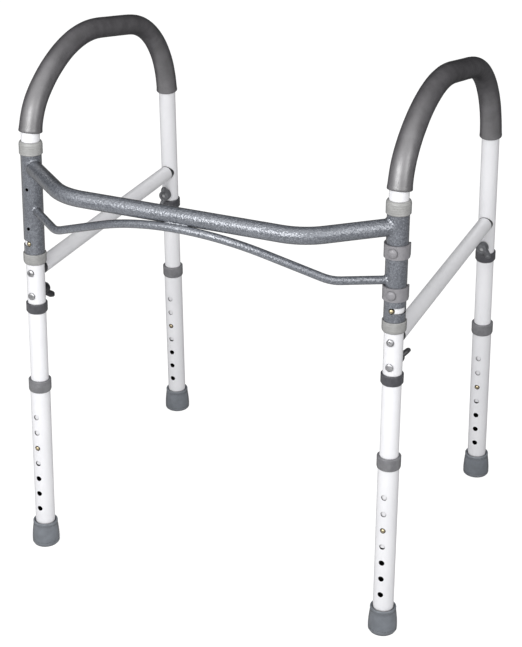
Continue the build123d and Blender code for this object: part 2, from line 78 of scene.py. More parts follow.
# ---- camera and studio. A direction is (round from the crossbar side to the right, up) ----
CAMERA_AT = Vector((0.8329, -1.8990, 1.3685))
CAMERA_FROM = (23.68, 26.63)
CAMERA_ROLL = -0.08
CAMERA_LENS = 88.84  # mm, for Blender's own 36 mm sensor
KEY_FROM = (-4, 30)
KEY_DISTANCE = 1.8
KEY_SIZE = (1.0, 0.75)
KEY_POWER = 19.0
STRIP_FROM = (62, 26)
STRIP_DISTANCE = 2.2
STRIP_SIZE = (0.5, 1.4)
STRIP_POWER = 10.0
AMBIENT = 0.66
GLOSS_FROM = (8, 35)  # where shiny surfaces find the studio brightest
GLOSS_FADE = (0.15, 0.75)  # cosines from that direction at which it is darkest and brightest
GLOSS_DARK = 0.06
GLOSS_BRIGHT = 2.1
FLOOR_HALF = 40.0
FLOOR_DROP = 0.1 * MM
FLOOR_GLOW = 1.2
FLOOR_GLOW_SHARE = 0.74  # how much of the floor's look is its own light, which softens the shadows
FLOOR_BOUNCE = (0.35, 0.75)  # its bounce light, weakest and strongest
FLOOR_BOUNCE_WAY = (-0.45, -0.89, 0.0)  # along the floor, from its weak part to its strong part
FLOOR_BOUNCE_RUN = (-0.5, 0.7)  # metres along that way

# ---- tubes of the frame ----
RAIL_R = 12.7 * MM
CROSSBAR_R = 11.1 * MM
ROD_R = 5.5 * MM
SLEEVE_R = 14.3 * MM
TUBE_STEP = 2 * MM  # along a tube's centre line
TUBE_END_STEPS = 3  # steps that give the heading of its end
WIDEST_BORE = 30 * MM
NARROWEST_HOLE = 3 * MM
LIFT = 0.01 * MM  # of a ray's start off its own face
SEAM = 0.002 * MM  # doubled points closer than this are welded
CORNER = 38  # edges steeper than this stay sharp
RIB_PITCH = 3.1 * MM  # of the fine mould ribs round the bushings

# ---- foam grips ----
FOAM_END_R = 16.1 * MM
FOAM_STRETCH = 1.3 * MM  # how much thinner the foam is where it is pulled over the crown
FOAM_BORE_R = 12.78 * MM
FOAM_RIM = 1.8 * MM  # rounding of the cut ends
FOAM_RIM_STEPS = 6
FOAM_FLARE = 0.35 * MM
FOAM_FLARE_LENGTH = 3.5 * MM
FOAM_END_SPOTS = (3 * MM, 4 * MM, 5 * MM)  # closer rings where an end's flare fades
FOAM_STEP = 3.0 * MM
FOAM_CROWN_STEPS = 10  # steps each way from the crown that are always inside the foam
FOAM_SMOOTHING = 6
FOAM_SIDES = 72
FOAM_CROWDING = 26 * MM**2  # a bend of radius R makes its inner side thicker by this over R
FOAM_WAVE = 0.16 * MM
FOAM_WAVE_LENGTH = 28 * MM
FOAM_GRAIN = 0.05 * MM
FOAM_GRAIN_LENGTH = 6 * MM

# ---- welds ----
WELD_PITCH = 2.3 * MM  # between the ripples
WELD_RIPPLE = 0.10  # share of the bead's leg
WELD_UNEVEN = 0.12
WELD_UNEVEN_LENGTH = 5 * MM
WELD_SIDES = 96
WELD_ARC_STEPS = 6
WELD_HOLLOW = 0.22  # how far out the bead's middle is pulled, as a share of its leg
WELD_SINK = 0.25 * MM  # how far its toes lie below the two surfaces
WELD_ROOT = 0.6 * MM  # how far its root lies below them
BAR_WELD_LEG = 2.4 * MM
ROD_WELD_LEG = 2.0 * MM
CROWN_WELD_HALF = 17 * MM
CROWN_WELD_STEPS = 56
CROWN_WELD_REACH = 3.6 * MM  # from the line of touch to each toe
CROWN_WELD_TIP = 0.25  # share of that reach left at its ends
CROWN_WELD_END = 0.02  # how much of its end rings is left before they are capped
CROWN_WELD_RIPPLE = 0.08
CROWN_WELD_UNEVEN_LENGTH = 6 * MM
CROWN_WELD_CROWNING = 0.25 * MM
CROWN_WELD_SINK = 0.2 * MM
CROWN_WELD_ROOT = 0.3 * MM

# ---- feet, in mm: radius from a leg's own axis, and height along it above the floor ----
FOOT_GROOVES = ((5.8, 8.2), (10.8, 13.2))  # ring treads, from radius to radius
FOOT_TREAD_Z = 2.0
FOOT_SPARE_Z = -2.0  # the untrimmed sole, below the floor
FOOT_BASE_R = 20.05
FOOT_BASE_CORNER = 1.65
FOOT_BASE_Z = 1.05
FOOT_WAIST = (20.1, 6.5)
FOOT_WAIST_R = 0.4
FOOT_BODY = ((20.15, 7.2), (20.2, 17.0), (18.0, 32.6))  # a curve's start, pull and end
FOOT_BODY_STEPS = 10
FOOT_NECK = (18.1, 33.4)
FOOT_NECK_R = 0.5
FOOT_RIM = (16.6, 36.4)
FOOT_RIM_R = 1.6
FOOT_BORE_R = 14.33
FOOT_BORE_Z = (29.5, 6.0)
FOOT_CORNER = 50  # edges steeper than this stay sharp
TRIM_SIDES = 8  # of the block below the floor that trims them, in metres
TRIM_R = 0.06
TRIM_DEPTH = 0.02

# ---- wing knobs, in mm: along the wings, above the base ----
KNOB_SIDES = 64
KNOB_BORE_R = 3.15
KNOB_HUB_R = 8.5
KNOB_NECK_R = 8.3
KNOB_HEIGHT = 12.7
KNOB_FOOT_CORNER = 1.2
KNOB_TOP_CORNER = 2.4
KNOB_WING = (  # the balls that a wing is stretched over: along, above, radius
    (7.0, 5.4, 3.6),
    (7.0, 9.2, 3.6),
    (13.0, 10.6, 3.3),
    (14.9, 15.0, 3.1),
    (13.0, 16.6, 3.2),
)
KNOB_VOXEL = 0.45
KNOB_SOFTENING = 5


def toward(azimuth, elevation):
    """A direction from the object: round from the crossbar side towards the right, and up."""
    turn = math.radians(azimuth)
    rise = math.radians(elevation)
    return Vector((math.sin(turn) * math.cos(rise), -math.cos(turn) * math.cos(rise), math.sin(rise)))


# ======================================================================
# Node trees
# ======================================================================
class Graph:
    """Short ways to add nodes to one node tree and wire them up."""

    def __init__(self, tree):
        self.tree = tree

    def add(self, kind, **settings):
        node = self.tree.nodes.new(kind)
        for key, value in settings.items():
            setattr(node, key, value)
        return node

    def put(self, socket, value):
        """Gives a socket another node's output, a colour or a plain value."""
        if isinstance(value, bpy.types.NodeSocket):
            self.tree.links.new(value, socket)
        elif socket.type == "RGBA":
            socket.default_value = (*value, 1.0)
        else:
            socket.default_value = value

    def span(self, source, low, high, to_low=0.0, to_high=1.0):
        """The source's run from low to high, eased into a run from to_low to to_high."""
        node = self.add("ShaderNodeMapRange", interpolation_type="SMOOTHSTEP")
        self.put(node.inputs["Value"], source)
        self.put(node.inputs["From Min"], low)
        self.put(node.inputs["From Max"], high)
        self.put(node.inputs["To Min"], to_low)
        self.put(node.inputs["To Max"], to_high)
        return node.outputs["Result"]

    def dot(self, first, second):
        node = self.add("ShaderNodeVectorMath", operation="DOT_PRODUCT")
        self.put(node.inputs[0], first)
        self.put(node.inputs[1], second)
        return node.outputs["Value"]

    def mix(self, share, first, second):
        """A colour between two."""
        node = self.add("ShaderNodeMix", data_type="RGBA")
        self.put(node.inputs[0], share)
        self.put(node.inputs[6], first)
        self.put(node.inputs[7], second)
        return node.outputs[2]

    def mix_value(self, share, first, second):
        """A number between two."""
        node = self.add("ShaderNodeMix")
        self.put(node.inputs["Factor"], share)
        self.put(node.inputs["A"], first)
        self.put(node.inputs["B"], second)
        return node.outputs["Result"]

    def mix_shader(self, share, first, second):
        node = self.add("ShaderNodeMixShader")
        self.put(node.inputs[0], share)
        self.put(node.inputs[1], first)
        self.put(node.inputs[2], second)
        return node.outputs[0]


class Shader(Graph):
    """One node material with a Principled surface. Textures sit in the piece's own coordinates."""

    def __init__(self, name):
        self.material = bpy.data.materials.new(name)
        self.material.use_nodes = True
        super().__init__(self.material.node_tree)
        self.tree.nodes.clear()
        self.surface = self.add("ShaderNodeBsdfPrincipled")
        self.output = self.add("ShaderNodeOutputMaterial")
        self.put(self.output.inputs["Surface"], self.surface.outputs[0])
        self.place = self.add("ShaderNodeTexCoord").outputs["Object"]

    def set(self, **values):
        """Principled inputs by name, with _ for a space."""
        for key, value in values.items():
            self.put(self.surface.inputs[key.replace("_", " ")], value)

    def math(self, operation, first, second=0.0):
        node = self.add("ShaderNodeMath", operation=operation)
        self.put(node.inputs[0], first)
        self.put(node.inputs[1], second)
        return node.outputs[0]

    def noise(self, size, detail=2.0, roughness=0.5, place=None):
        """Noise whose features are about this size."""
        node = self.add("ShaderNodeTexNoise")
        self.put(node.inputs["Vector"], place or self.place)
        self.put(node.inputs["Scale"], 1 / size)
        self.put(node.inputs["Detail"], detail)
        self.put(node.inputs["Roughness"], roughness)
        return node.outputs["Fac"]

    def cells(self, size, feature="SMOOTH_F1", place=None):
        """The distance from the middle of cells of about this size."""
        node = self.add("ShaderNodeTexVoronoi", feature=feature)
        self.put(node.inputs["Vector"], place or self.place)
        self.put(node.inputs["Scale"], 1 / size)
        return node.outputs["Distance"]

    def height(self):
        """The height above the floor at rest."""
        node = self.add("ShaderNodeSeparateXYZ")
        self.put(node.inputs[0], self.place)
        return node.outputs["Z"]

    def rounded_normal(self, radius):
        node = self.add("ShaderNodeBevel", samples=4)
        self.put(node.inputs["Radius"], radius)
        return node.outputs["Normal"]

    def edge_wear_and_shade(self, radius):
        """1 on sharp edges, 0 on flat faces. It masks rubbed wear on the mouldings and painted shade on the white
        paint.
        """
        rounded = self.rounded_normal(radius)
        sameness = self.dot(rounded, self.add("ShaderNodeNewGeometry").outputs["Normal"])
        return self.span(sameness, 0.98, 0.80)

    def turned_away(self):
        """0 where the surface faces the viewer, rising to 1 at its outline."""
        facing = self.add("ShaderNodeLayerWeight")
        self.put(facing.inputs["Blend"], 0.5)
        return facing.outputs["Facing"]

    def paint_outline_shade(self, tone, strength):
        """Painted shade: the tone, darker where the surface turns away, standing in for the dark studio it would
        show there.
        """
        share = self.span(self.turned_away(), 0.45, 0.95, 0.0, strength)
        return self.mix(share, tone, (0.012, 0.012, 0.014))

    def paint_seam_shade(self, tone, reach, strength):
        """Painted shade: the tone, darker in seams and against neighbouring pieces, where less light reaches."""
        open_sky = self.add("ShaderNodeAmbientOcclusion", samples=6)
        self.put(open_sky.inputs["Distance"], reach)
        share = self.span(open_sky.outputs["AO"], 0.85, 0.35, 0.0, strength)
        return self.mix(share, tone, (0.02, 0.02, 0.022))

    def bump(self, relief, depth, normal=None):
        node = self.add("ShaderNodeBump")
        self.put(node.inputs["Height"], relief)
        self.put(node.inputs["Distance"], depth)
        if normal is not None:
            self.put(node.inputs["Normal"], normal)
        return node.outputs["Normal"]


# ======================================================================
# Materials
# ======================================================================
def white_powder_coat(name):
    """Gloss white powder coat: orange peel and faint clouding, with painted shade: greyed sharp edges, darker
    seams and a darker outline.
    """
    s = Shader(name)
    cloud = s.noise(60 * MM, 3)
    tone = s.mix(s.span(cloud, 0.3, 0.7), (0.765, 0.765, 0.79), (0.80, 0.80, 0.822))
    # painted shade: sharp edges, such as the rims of holes, greyed towards a mid grey
    tone = s.mix(s.math("MULTIPLY", s.edge_wear_and_shade(0.5 * MM), 0.35), tone, (0.45, 0.45, 0.47))
    # painted shade in seams, against neighbouring pieces and at the outline
    tone = s.paint_outline_shade(s.paint_seam_shade(tone, 2.5 * MM, 0.6), 0.2)
    peel = s.noise(1.6 * MM, 2, 0.4)
    rough = s.span(s.noise(14 * MM, 4), 0.3, 0.7, 0.28, 0.38)
    s.set(Base_Color=tone, Roughness=rough, Coat_Weight=0.15, Coat_Roughness=0.12)
    s.set(Normal=s.bump(peel, 0.02 * MM, s.rounded_normal(0.3 * MM)))
    return s.material


def hammered_grey(name):
    """Hammertone stove enamel: a dimpled film over fine bright flake, with painted shade in seams and at the
    outline.
    """
    s = Shader(name)
    drift = s.add("ShaderNodeTexNoise")
    s.put(drift.inputs["Vector"], s.place)
    s.put(drift.inputs["Scale"], 1 / (4 * MM))
    warp = s.add("ShaderNodeVectorMath", operation="MULTIPLY_ADD")
    s.put(warp.inputs[0], drift.outputs["Color"])
    s.put(warp.inputs[1], (1.4 * MM,) * 3)
    s.put(warp.inputs[2], s.place)
    dimple = s.cells(2.2 * MM, place=warp.outputs[0])
    flake = s.noise(0.9 * MM, 3, 0.65)
    film = s.mix(s.span(flake, 0.36, 0.68), (0.099, 0.107, 0.126), (0.285, 0.302, 0.335))
    tone = s.mix(s.span(dimple, 0.2, 0.7, 0.0, 0.7), film, (0.079, 0.086, 0.103))
    tone = s.mix(s.span(s.noise(45 * MM, 2), 0.35, 0.65, 0.0, 0.25), tone, (0.093, 0.101, 0.119))
    # painted shade in seams and a strongly darkened outline
    tone = s.paint_outline_shade(s.paint_seam_shade(tone, 2 * MM, 0.6), 0.95)
    rough = s.span(flake, 0.35, 0.7, 0.36, 0.26)
    s.set(Base_Color=tone, Metallic=0.30, Roughness=rough, Coat_Weight=0.70, Coat_Roughness=0.10)
    relief = s.math("ADD", s.math("MULTIPLY", dimple, -1.0), s.math("MULTIPLY", flake, 0.15))
    bumped = s.bump(relief, 0.55 * MM, s.rounded_normal(0.35 * MM))
    s.set(Normal=bumped, Coat_Normal=bumped)
    return s.material


def moulded(name, tone, dark, rough, grain=0.5 * MM, depth=0.03 * MM, ribs=0.0, dusty=False):
    """Moulded plastic or rubber: fine grain, clouded colour, lighter rubbed edges, dust towards the floor, and
    painted shade in seams and at the outline.
    """
    s = Shader(name)
    cloud = s.noise(12 * MM, 4, 0.6)
    colour = s.mix(s.span(cloud, 0.3, 0.7), dark, tone)
    rubbed = tuple(min(1.0, channel * 1.6 + 0.03) for channel in tone)
    broken = s.math("MULTIPLY", s.edge_wear_and_shade(0.6 * MM), s.span(s.noise(3 * MM, 3), 0.35, 0.6))
    colour = s.mix(s.math("MULTIPLY", broken, 0.25), colour, rubbed)
    # painted shade in seams and at the outline
    colour = s.paint_outline_shade(s.paint_seam_shade(colour, 2 * MM, 0.7), 0.6)
    if dusty:
        low_down = s.span(s.height(), 9 * MM, 0.0)
        dust = s.math("MULTIPLY", low_down, s.span(s.noise(4 * MM, 4, 0.7), 0.42, 0.68))
        colour = s.mix(s.math("MULTIPLY", dust, 0.3), colour, (0.26, 0.25, 0.24))
    roughness = s.span(s.noise(7 * MM, 3), 0.3, 0.7, rough - 0.06, rough + 0.08)
    s.set(Base_Color=colour, Roughness=roughness)
    relief = s.math("ADD", s.noise(grain, 2), s.math("MULTIPLY", s.noise(grain * 6, 2), 0.4))
    if ribs:
        wave = s.math("SINE", s.math("MULTIPLY", s.height(), 2 * math.pi / RIB_PITCH))
        relief = s.math("ADD", relief, s.math("MULTIPLY", wave, ribs))
    s.set(Normal=s.bump(relief, depth, s.rounded_normal(0.45 * MM)))
    return s.material


def closed_cell_foam(name):
    """Closed-cell foam with a rubbed satin skin: fine cells, soft mottling, painted shade at its outline, and no
    sheen there.
    """
    s = Shader(name)
    mottle = s.noise(22 * MM, 4, 0.6)
    tone = s.mix(s.span(mottle, 0.3, 0.7), (0.086, 0.083, 0.088), (0.118, 0.114, 0.121))
    pores = s.cells(0.75 * MM, feature="F1")
    tone = s.mix(s.span(pores, 0.55, 0.95, 0.0, 0.4), tone, (0.035, 0.035, 0.037))
    # painted shade: the outline strongly darkened
    tone = s.paint_outline_shade(tone, 0.85)
    rough = s.span(s.noise(9 * MM, 3), 0.3, 0.7, 0.36, 0.46)
    glance = s.turned_away()
    shine = s.span(glance, 0.30, 0.56, 1.0, 0.05)
    skin = s.span(glance, 0.30, 0.56, 0.6, 0.0)
    s.set(Base_Color=tone, Roughness=rough, Specular_IOR_Level=shine, Coat_Weight=skin, Coat_Roughness=0.36)
    relief = s.math("ADD", s.math("MULTIPLY", pores, -0.5), s.noise(3 * MM, 3))
    s.set(Normal=s.bump(relief, 0.06 * MM))
    return s.material


def metal(name, bright, dull, rough):
    """Plated or bare metal with fine directional scratches and uneven tarnish."""
    s = Shader(name)
    tone = s.mix(s.span(s.noise(5 * MM, 4, 0.65), 0.35, 0.65), bright, dull)
    stretch = s.add("ShaderNodeMapping")
    s.put(stretch.inputs["Vector"], s.place)
    s.put(stretch.inputs["Scale"], (6.0, 1.0, 1.0))
    scratches = s.noise(1.5 * MM, 4, 0.7, place=stretch.outputs["Vector"])
    roughness = s.span(scratches, 0.3, 0.7, rough - 0.07, rough + 0.12)
    s.set(Base_Color=tone, Metallic=1.0, Roughness=roughness)
    s.set(Normal=s.bump(scratches, 0.02 * MM, s.rounded_normal(0.25 * MM)))
    return s.material


def make_materials():
    """The material for each of the record's material slots, and three that only the looks need."""
    light_grey = ((0.34, 0.34, 0.335), (0.27, 0.27, 0.265))
    mid_grey = ((0.205, 0.205, 0.215), (0.145, 0.145, 0.155))
    clip_grey = ((0.255, 0.250, 0.264), (0.205, 0.200, 0.214))
    dark_grey = ((0.078, 0.078, 0.088), (0.045, 0.045, 0.053))
    black = ((0.034, 0.034, 0.037), (0.020, 0.020, 0.022))
    # the black plastic again, lighter: painted light for the front knobs, which face the key
    painted_lit_black = ((0.132, 0.134, 0.144), (0.092, 0.094, 0.102))
    rubber = ((0.175, 0.190, 0.212), (0.140, 0.152, 0.170))
    return {
        "white_paint": white_powder_coat("white_powder_coat"),
        "hammered_grey_paint": hammered_grey("hammered_grey_enamel"),
        "light_grey_plastic": moulded("light_grey_moulding", *light_grey, 0.42, ribs=2.5),
        "mid_grey_plastic": moulded("mid_grey_moulding", *mid_grey, 0.40),
        "dark_plastic": moulded("dark_moulding", *dark_grey, 0.38),
        "black_plastic": moulded("black_moulding", *black, 0.36),
        "foam": closed_cell_foam("grip_foam"),
        "foot_rubber": moulded("foot_rubber", *rubber, 0.46, grain=0.6 * MM, depth=0.05 * MM, dusty=True),
        "zinc_steel": metal("zinc_plate", (0.44, 0.44, 0.45), (0.28, 0.28, 0.29), 0.26),
        "spring_steel": metal("spring_steel", (0.40, 0.40, 0.42), (0.28, 0.28, 0.30), 0.34),
        "brass": metal("dull_brass", (0.40, 0.34, 0.22), (0.24, 0.20, 0.14), 0.22),
        "clip_plastic": moulded("clip_moulding", *clip_grey, 0.42),
        "painted_lit_black_plastic": moulded("painted_lit_black_moulding", *painted_lit_black, 0.42),
        "inside_and_hole_shade": bare_inside_and_painted_shade(),
    }


def bare_inside_and_painted_shade():
    """The unpainted, oily inside of the tubes, near black: the bare inside is real, its near-black tone is painted
    shade that makes the holes read black, and on the holes' walls the whole material is painted shade.
    """
    s = Shader("bare_inside_and_painted_shade")
    tone = s.mix(s.span(s.noise(6 * MM, 4), 0.35, 0.65), (0.012, 0.011, 0.011), (0.028, 0.024, 0.022))
    rough = s.span(s.noise(2 * MM, 2), 0.3, 0.7, 0.6, 0.8)
    s.set(Base_Color=tone, Metallic=0.4, Roughness=rough, Normal=s.bump(s.noise(1.2 * MM, 3), 0.05 * MM))
    return s.material


def pale_floor():
    """A near-white studio floor. What it reflects onto the object fades behind and to the right of it."""
    s = Shader("pale_floor")
    tone = s.mix(s.span(s.noise(0.35, 3), 0.3, 0.7), (0.90, 0.90, 0.90), (0.92, 0.92, 0.92))
    rough = s.span(s.noise(0.2, 2), 0.3, 0.7, 0.6, 0.7)
    s.set(Base_Color=tone, Roughness=rough, Specular_IOR_Level=0.1)
    glow = s.add("ShaderNodeEmission")
    s.put(glow.inputs["Strength"], FLOOR_GLOW)
    seen = s.mix_shader(FLOOR_GLOW_SHARE, s.surface.outputs[0], glow.outputs[0])
    share = s.span(s.dot(s.place, FLOOR_BOUNCE_WAY), *FLOOR_BOUNCE_RUN, *FLOOR_BOUNCE)
    bounce = s.add("ShaderNodeBsdfDiffuse")
    s.put(bounce.inputs["Color"], s.mix(share, (0.0, 0.0, 0.0), (1.0, 1.0, 1.0)))
    to_camera = s.add("ShaderNodeLightPath").outputs["Is Camera Ray"]
    s.put(s.output.inputs["Surface"], s.mix_shader(to_camera, bounce.outputs[0], seen))
    return s.material


# ======================================================================
# Meshes and pieces
# ======================================================================
def ring_mesh(name, rings, closed=True):
    """A smooth mesh over rings of points. The last ring joins the first or, if not closed, both get caps."""
    count = len(rings[0])
    faces = []
    for i in range(len(rings) if closed else len(rings) - 1):
        here = i * count
        there = (i + 1) % len(rings) * count
        for j in range(count):
            k = (j + 1) % count
            faces.append((here + j, here + k, there + k, there + j))
    if not closed:
        faces.append(tuple(reversed(range(count))))
        faces.append(tuple(range((len(rings) - 1) * count, len(rings) * count)))
    mesh = bpy.data.meshes.new(name)
    mesh.from_pydata([point for ring in rings for point in ring], [], faces)
    mesh.validate()
    mesh.shade_smooth()
    return mesh


def lathe(outline, segments=96, closed=False):
    """A mesh turned about Z from (radius, height) points."""
    turns = [2 * math.pi * j / segments for j in range(segments)]
    rings = [[(r * math.cos(turn), r * math.sin(turn), z) for turn in turns] for r, z in outline]
    return ring_mesh("lathe", rings, closed)


def arc(centre, radius, start, end):
    """Outline points on an arc, by degrees from outwards towards upwards."""
    count = math.ceil(abs(end - start) / ARC_STEP)
    turns = [math.radians(start + (end - start) * i / count) for i in range(count + 1)]
    return [(centre[0] + radius * math.cos(turn), centre[1] + radius * math.sin(turn)) for turn in turns]


def pulled(start, pull, end, count):
    """Points on a curve that leaves start towards pull and reaches end from pull."""
    shares = [i / count for i in range(count + 1)]
    return [start * (1 - t) ** 2 + pull * (2 * t * (1 - t)) + end * t**2 for t in shares]


def axes_at(origin, z_axis, x_axis):
    """A placement whose Z is z_axis and whose X is as near x_axis as it can be."""
    y_axis = z_axis.cross(x_axis).normalized()
    x_axis = y_axis.cross(z_axis)
    turn = Matrix((x_axis, y_axis, z_axis)).transposed().to_4x4()
    return Matrix.Translation(origin) @ turn


def new_object(name, data):
    thing = bpy.data.objects.new(name, data)
    bpy.context.scene.collection.objects.link(thing)
    return thing


def settled(thing):
    """The thing's mesh with its modifiers applied. The thing itself is removed."""
    bpy.context.view_layer.update()
    view = bpy.context.evaluated_depsgraph_get()
    mesh = bpy.data.meshes.new_from_object(thing.evaluated_get(view))
    bpy.data.objects.remove(thing)
    return mesh


def new_piece(name, mesh, material, body):
    """A piece of the visual model that moves with a body."""
    mesh.materials.clear()
    mesh.materials.append(material)
    piece = new_object(name, mesh)
    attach(piece, body)
    return piece


# ======================================================================
# Lines along the CAD tubes
# ======================================================================
def surface_tree(node):
    mesh = nodes[node].data
    return BVHTree.FromPolygons([v.co for v in mesh.vertices], [p.vertices for p in mesh.polygons])


def across(heading, side):
    """Two unit vectors at right angles to heading. The second is near side."""
    first = heading.cross(side).normalized()
    return first, first.cross(heading).normalized()


def spokes(out, sideways, count):
    """Unit vectors all round, from out towards sideways."""
    angles = [2 * math.pi * j / count for j in range(count)]
    return [out * math.cos(angle) + sideways * math.sin(angle) for angle in angles]


def recentre(tree, point, heading, side, reach):
    """The centre of the tube near point, from rays sent inwards on four sides, or None past its end."""
    centre = Vector((0, 0, 0))
    for way in across(heading, side):
        hits = []
        for sign in (1, -1):
            hit = tree.ray_cast(point + way * (sign * reach), way * -sign, 2 * reach)[0]
            if hit is None:
                return None
            hits.append((hit - point).dot(way))
        centre += way * (sum(hits) / 2)
    return point + centre


def centre_line(node, start, heading, side, step, reach, until=None):
    """Points along a tube's centre line, from start along heading, to its end or to the height until."""
    tree = surface_tree(node)
    points = [recentre(tree, start, heading, side, reach)]
    while until is None or points[-1].z > until:
        there = recentre(tree, points[-1] + heading * step, heading, side, reach)
        if there is None:
            return points
        heading = (there - points[-1]).normalized()
        points.append(there)
    return points


def running_lengths(points):
    """The length of the line up to each of its points."""
    lengths = [0.0]
    for a, b in zip(points, points[1:]):
        lengths.append(lengths[-1] + (b - a).length)
    return lengths


def even_steps(points, step):
    """The same line with its points evenly spaced."""
    lengths = running_lengths(points)
    count = max(2, round(lengths[-1] / step))
    out = []
    k = 0
    for i in range(count + 1):
        at = lengths[-1] * i / count
        while k < len(points) - 2 and lengths[k + 1] < at:
            k += 1
        share = (at - lengths[k]) / (lengths[k + 1] - lengths[k])
        out.append(points[k].lerp(points[k + 1], share))
    return out


def smoothed(points, times):
    for _ in range(times):
        inner = [(a + b * 2 + c) / 4 for a, b, c in zip(points, points[1:], points[2:])]
        points = [points[0]] + inner + [points[-1]]
    return points


def point_at(points, distance):
    """The point this far along a line."""
    for a, b in zip(points, points[1:]):
        length = (b - a).length
        if distance <= length:
            return a.lerp(b, distance / length)
        distance -= length
    return points[-1]


# ======================================================================
# Foam grips
# ======================================================================
def foam_line(side):
    """The handrail's centre line, cut at the CAD foam's two end faces, and the way the side frame leans."""
    rail = side + "_handrail_tube"
    foam = surface_tree(side + "_foam_grip")
    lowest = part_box(side + "_foam_grip")[0].z - 4 * FOAM_STEP
    top = max((v.co for v in nodes[rail].data.vertices), key=lambda co: co.z)
    crown = top - UP * RAIL_R
    lean = Vector(joints[side + "_side_fold"]["axis"]).cross(FORWARD).normalized()
    in_foam = lean * ((FOAM_END_R + RAIL_R) / 2)
    halves = []
    for way in (-1, 1):
        line = centre_line(rail, crown.copy(), FORWARD * way, lean, FOAM_STEP, 2 * RAIL_R, lowest)
        past = FOAM_CROWN_STEPS
        while foam.ray_cast(line[past], lean, 2 * FOAM_END_R)[0] is not None:
            past += 1
        heading = (line[past] - line[past - 1]).normalized()
        face = foam.ray_cast(line[past] + in_foam + heading * FOAM_STEP, -heading, 4 * FOAM_STEP)[0]
        end = line[past] + heading * (face - line[past]).dot(heading)
        halves.append(line[: past - 1] + [end])
    line = list(reversed(halves[0])) + halves[1][1:]
    return smoothed(even_steps(line, FOAM_STEP), FOAM_SMOOTHING), lean


def foam_radius(distance, length):
    """Outer radius along the grip: stretched thinner over the crown, and flared at the cut ends."""
    from_end = min(distance, length - distance)
    flare = FOAM_FLARE * math.exp(-(((from_end - FOAM_RIM) / FOAM_FLARE_LENGTH) ** 2))
    stretch = FOAM_STRETCH * math.sin(math.pi * (distance / length))
    return FOAM_END_R - FOAM_FLARE - stretch + flare


def foam_section(length, steps):
    """(distance along the grip, radius) of each ring: one rim, the outside, the other rim, the bore."""
    turns = [math.radians(90) * i / FOAM_RIM_STEPS for i in range(FOAM_RIM_STEPS, -1, -1)]
    rim = [(FOAM_RIM * (1 - math.sin(t)), FOAM_END_R - FOAM_RIM * (1 - math.cos(t))) for t in turns]
    spots = list(FOAM_END_SPOTS) + [length * i / steps for i in range(2, steps - 1)]
    spots += [length - spot for spot in reversed(FOAM_END_SPOTS)]
    outside = [(spot, foam_radius(spot, length)) for spot in spots]
    far_rim = [(length - distance, radius) for distance, radius in reversed(rim)]
    bore = [(length * i / steps, FOAM_BORE_R) for i in range(steps, -1, -1)]
    return rim + outside + far_rim + bore


def foam_ring(centre, rays, radius, bend):
    """One ring of the grip. Its outside is uneven, and crowded or stretched by the tube's bend."""
    if radius <= FOAM_BORE_R:
        return [centre + ray * radius for ray in rays]
    ring = []
    for ray in rays:
        spot = centre + ray * radius
        uneven = FOAM_WAVE * noise.noise(spot / FOAM_WAVE_LENGTH)
        uneven += FOAM_GRAIN * noise.noise(spot / FOAM_GRAIN_LENGTH)
        ring.append(centre + ray * (radius + uneven + FOAM_CROWDING * bend.dot(ray)))
    return ring


def foam_grip(side, material):
    line, lean = foam_line(side)
    length = running_lengths(line)[-1]
    steps = len(line) - 1
    rings = []
    for distance, radius in foam_section(length, steps):
        near = min(max(round(distance / length * steps), 1), steps - 1)
        heading = (line[near + 1] - line[near - 1]).normalized()
        bend = (line[near + 1] + line[near - 1] - line[near] * 2) / FOAM_STEP**2
        rays = spokes(*across(heading, lean), FOAM_SIDES)
        rings.append(foam_ring(point_at(line, distance), rays, radius, bend))
    name = side + "_grip_foam"
    piece = new_piece(name, ring_mesh(name, rings), material, side + "_side_frame")
    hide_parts(side + "_foam_grip")


# ======================================================================
# Welds
# ======================================================================
def new_weld(name, rings, material, closed=True):
    new_piece(name, ring_mesh(name, rings, closed), material, "crossbar_frame")


def saddle_ring(centre, along, radius, axis_point, axis):
    """Where a tube's surface meets a sleeve, at steps round the tube: points, and rays from its centre."""
    ring = []
    go = along - axis * along.dot(axis)
    for ray in spokes(*across(along, axis), WELD_SIDES):
        start = centre + ray * radius
        gap = start - axis_point
        gap -= axis * gap.dot(axis)
        # the nearer root of |gap + go * t| = SLEEVE_R
        half_b = go.dot(gap)
        root = math.sqrt(half_b**2 - go.dot(go) * (gap.dot(gap) - SLEEVE_R**2))
        ring.append((start + along * ((-half_b - root) / go.dot(go)), ray))
    return ring


def end_weld(name, line, radius, side, leg, material):
    """A rippled fillet weld round a tube's end, on the sleeve."""
    joint = joints[side + "_side_fold"]
    axis_point = Vector(joint["pos_m"])
    axis = Vector(joint["axis"]).normalized()
    along = (line[-1] - line[-1 - TUBE_END_STEPS]).normalized()
    saddle = saddle_ring(line[-1], along, radius, axis_point, axis)
    spots = [spot for spot, _ in saddle]
    lengths = running_lengths(spots + spots[:1])
    ripples = round(lengths[-1] / WELD_PITCH)
    rings = []
    for j, (spot, ray) in enumerate(saddle):
        tangent = (spots[(j + 1) % WELD_SIDES] - spots[j - 1]).normalized()
        from_axis = spot - axis_point
        sleeve_out = (from_axis - axis * from_axis.dot(axis)).normalized()
        on_sleeve = sleeve_out.cross(tangent).normalized()
        if on_sleeve.dot(ray) < 0:
            on_sleeve.negate()
        on_tube = ray.cross(tangent).normalized()
        if on_tube.dot(along) > 0:
            on_tube.negate()
        ripple = math.sin(2 * math.pi * ripples * lengths[j] / lengths[-1])
        uneven = WELD_RIPPLE * ripple + WELD_UNEVEN * noise.noise(spot / WELD_UNEVEN_LENGTH)
        size = leg * (1 + uneven)
        toe_on_sleeve = spot + on_sleeve * size - sleeve_out * WELD_SINK
        toe_on_tube = spot + on_tube * size - ray * WELD_SINK
        pull = spot + (on_sleeve + on_tube) * (size * WELD_HOLLOW)
        root = spot - (sleeve_out + ray) * WELD_ROOT
        rings.append(pulled(toe_on_sleeve, pull, toe_on_tube, WELD_ARC_STEPS) + [root])
    new_weld(name, rings, material)


